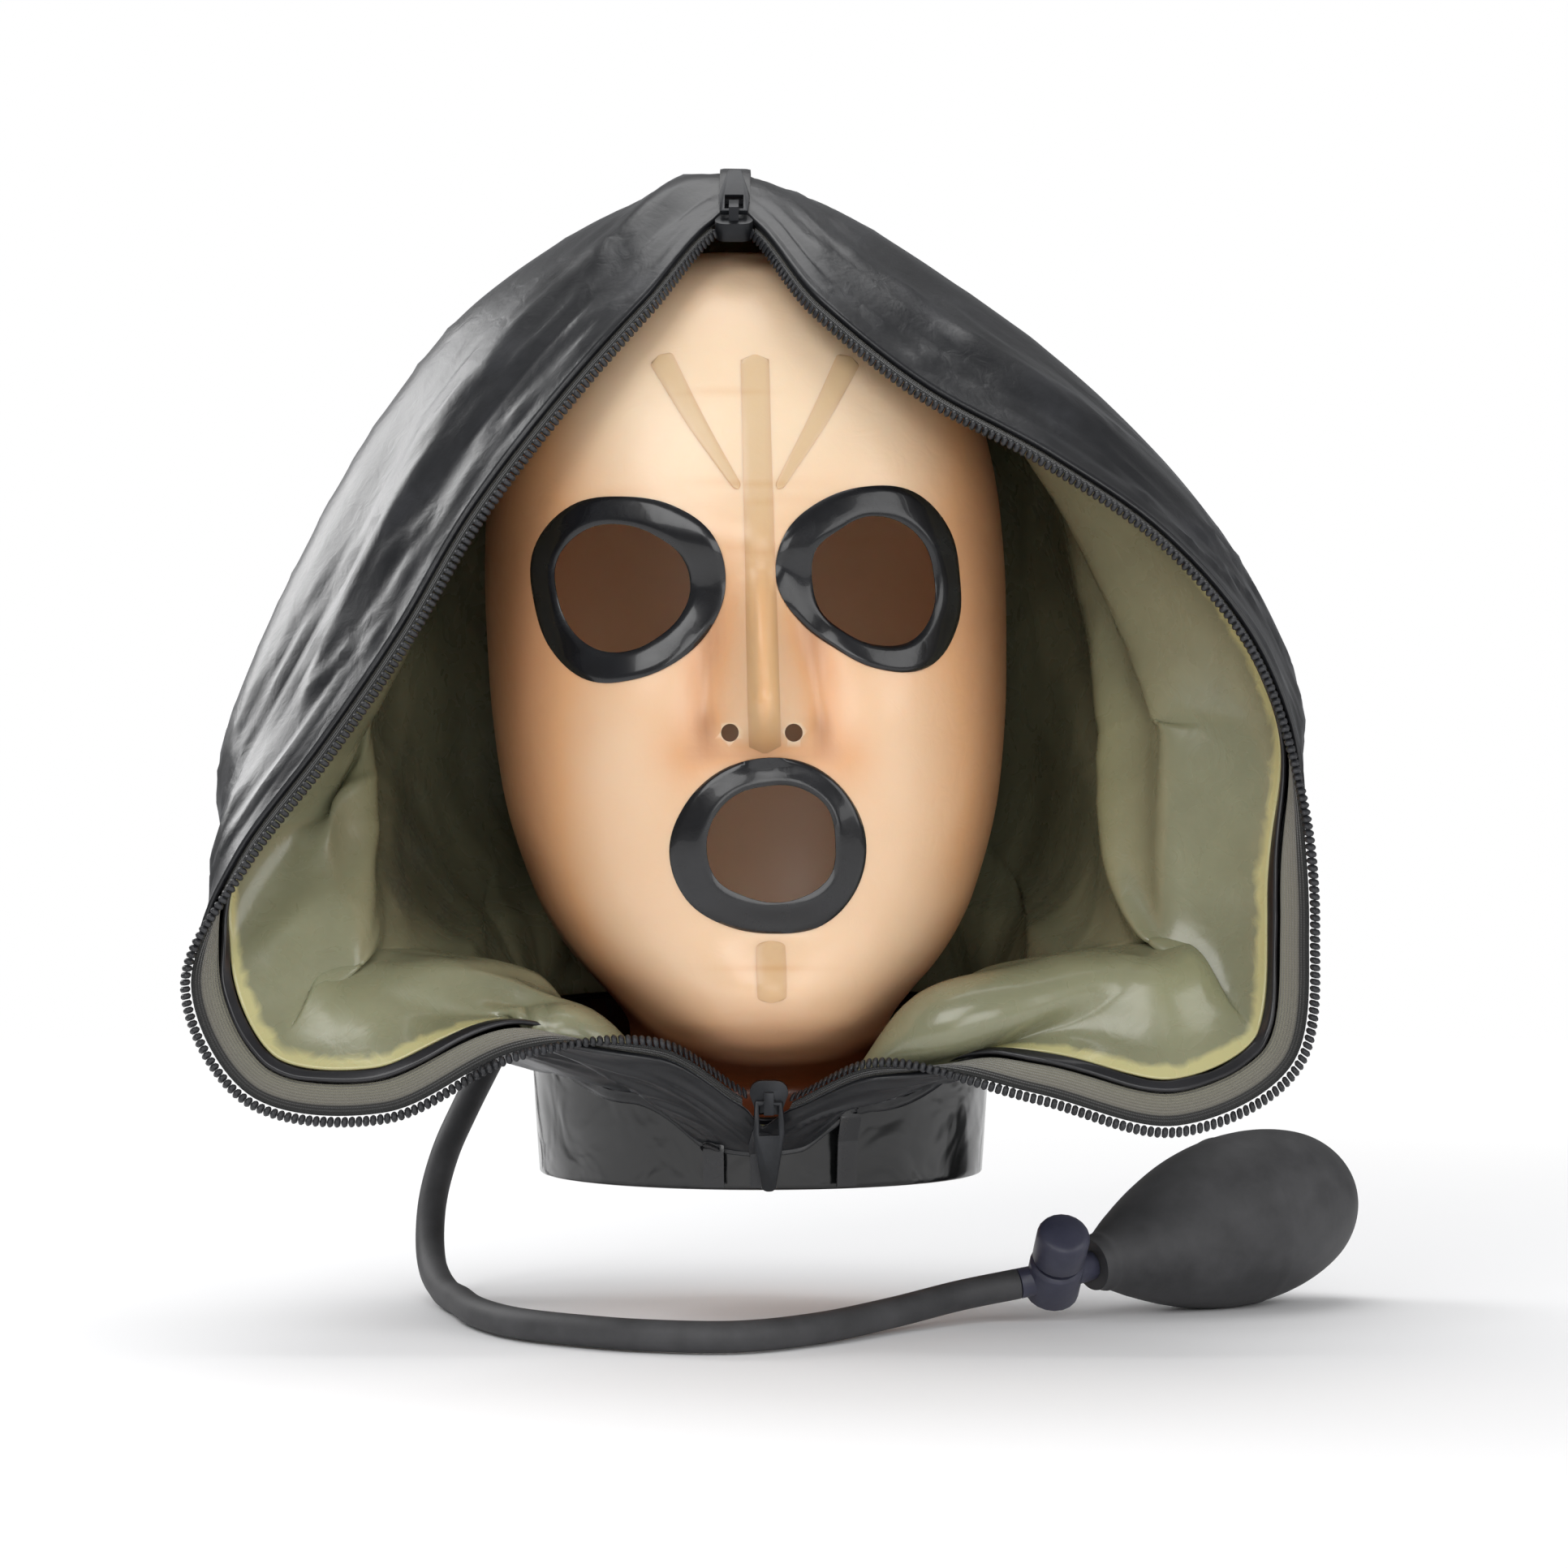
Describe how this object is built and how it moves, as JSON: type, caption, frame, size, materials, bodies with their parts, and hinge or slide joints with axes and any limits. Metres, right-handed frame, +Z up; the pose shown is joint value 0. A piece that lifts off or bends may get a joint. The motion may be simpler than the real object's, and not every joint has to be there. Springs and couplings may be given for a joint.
{
  "type": "inflatable latex mask",
  "caption": "Double-walled inflatable latex hood with its front zip open round a full face mask with eye and mouth holes, a neck collar, and a hose with a release valve and a squeeze bulb.",
  "frame": {"origin": "the inside of the top of the mask's crown, where it rests on a wearer's head or a display form", "axes": "+Z up, the face looks along -Y, +X towards the right side of the picture, which is the wearer's left"},
  "size_m": [0.3483, 0.2235, 0.3434],
  "materials": {
    "black_latex": "satin",
    "smoky_latex": "satin, translucent",
    "natural_latex": "satin, translucent",
    "amber_latex": "satin, translucent",
    "gloss_latex": "gloss",
    "zip_tape": "woven",
    "zip_plastic": "satin",
    "black_metal": "satin",
    "rubber": "matte",
    "valve_plastic": "satin"
  },
  "bodies": {
    "hood": {"outer_shell": "black_latex", "inner_lining": "smoky_latex", "lining_edge_strip": "gloss_latex", "zip_tape_left": "zip_tape", "zip_tape_right": "zip_tape", "zip_teeth_left": "zip_plastic", "zip_teeth_right": "zip_plastic", "crown_seam_strip": "black_latex", "face_mask": "natural_latex", "eye_ring_left": "gloss_latex", "eye_ring_right": "gloss_latex", "mouth_ring": "gloss_latex", "mask_seam_centre": "amber_latex", "mask_seam_chin": "amber_latex", "mask_seam_brow_left": "amber_latex", "mask_seam_brow_right": "amber_latex", "collar": "gloss_latex", "collar_placket_left": "gloss_latex", "collar_placket_right": "gloss_latex", "collar_zip": "zip_plastic", "upper_slider": "black_metal", "lower_slider": "black_metal", "inlet_flange": "rubber", "hose": "rubber", "valve_body": "valve_plastic", "pump_bulb": "rubber", "bulb_end_cap": "rubber"},
    "upper_pull": {"upper_pull": "black_metal"},
    "lower_pull": {"lower_pull": "black_metal"},
    "valve_button": {"valve_button": "valve_plastic"}
  },
  "joints": [
    {"name": "upper_pull_swing", "type": "hinge", "parent": "hood", "child": "upper_pull", "pos_m": [0, -0.04152, 0.00807], "axis": [1, 0, 0], "range_deg": [0, 110]},
    {"name": "lower_pull_swing", "type": "hinge", "parent": "hood", "child": "lower_pull", "pos_m": [0.0102, -0.06465, -0.24825], "axis": [-1, 0, 0], "range_deg": [0, 150]},
    {"name": "release_button", "type": "slide", "parent": "hood", "child": "valve_button", "axis": [0.1005, -0.7035, 0.7035], "range_m": [-0.0015, 0], "stiffness_N_per_m": 400, "springref_m": 0.001}
  ]
}
